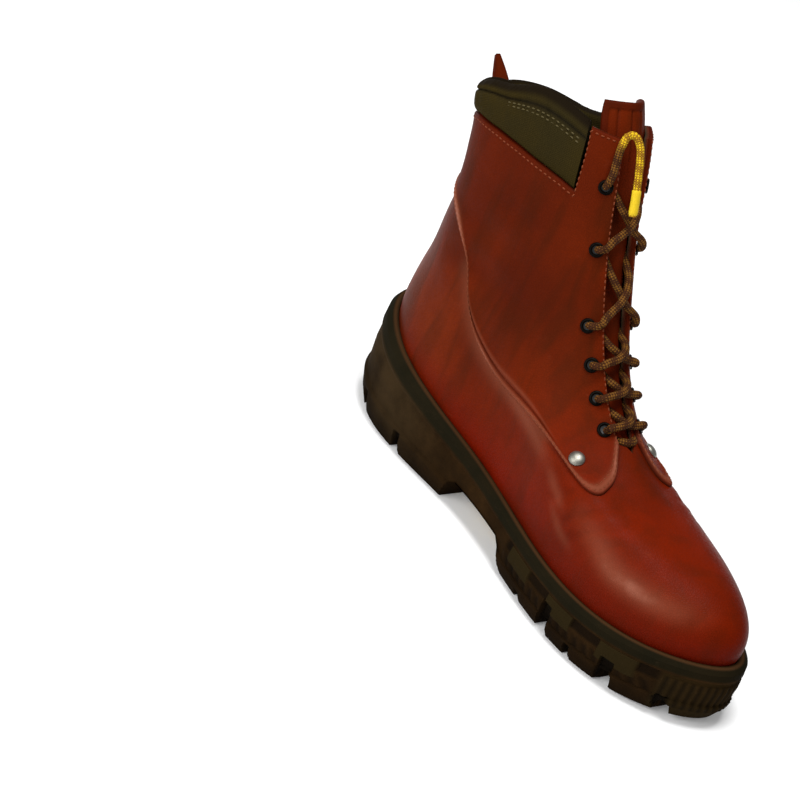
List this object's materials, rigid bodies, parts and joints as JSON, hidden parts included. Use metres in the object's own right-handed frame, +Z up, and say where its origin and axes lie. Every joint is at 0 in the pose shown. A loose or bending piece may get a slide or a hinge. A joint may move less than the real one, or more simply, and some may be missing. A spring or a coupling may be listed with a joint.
{
  "type": "high-top safety shoe",
  "caption": "Right-foot high-top work shoe: hollow lasted leather upper with quarter panels, padded collar, tongue and crossed lace on a cleated cup sole with heel and arch.",
  "frame": {"origin": "middle of the outline on the floor under the sole", "axes": "+X from heel to toe, +Y to the inner side of the right foot, +Z up"},
  "size_m": [0.3152, 0.0982, 0.2398],
  "materials": {
    "sole_rubber": "matt dark brown",
    "label_plastic": "plain yellow",
    "insole_felt": "felt",
    "upper_leather": "satin red-brown",
    "quarter_leather": "satin red-brown",
    "tongue_leather": "satin red-brown",
    "collar_leather": "matt dark olive grey",
    "lace_cord": "flecked brown and gold",
    "eyelet_metal": "black",
    "rivet_metal": "bright"
  },
  "bodies": {
    "root": {"sole": "sole_rubber", "arch_label": "label_plastic", "insole": "insole_felt", "upper": "upper_leather", "quarter_outer": "quarter_leather", "quarter_inner": "quarter_leather", "back_tab": "quarter_leather", "collar": "collar_leather", "tongue": "tongue_leather", "laces": "lace_cord", "lace_end": "lace_cord", "eyelet_outer_1": "eyelet_metal", "eyelet_outer_2": "eyelet_metal", "eyelet_outer_3": "eyelet_metal", "eyelet_outer_4": "eyelet_metal", "eyelet_outer_5": "eyelet_metal", "eyelet_outer_6": "eyelet_metal", "eyelet_inner_1": "eyelet_metal", "eyelet_inner_2": "eyelet_metal", "eyelet_inner_3": "eyelet_metal", "eyelet_inner_4": "eyelet_metal", "eyelet_inner_5": "eyelet_metal", "eyelet_inner_6": "eyelet_metal", "rivet_outer": "rivet_metal", "rivet_inner": "rivet_metal"}
  },
  "joints": []
}
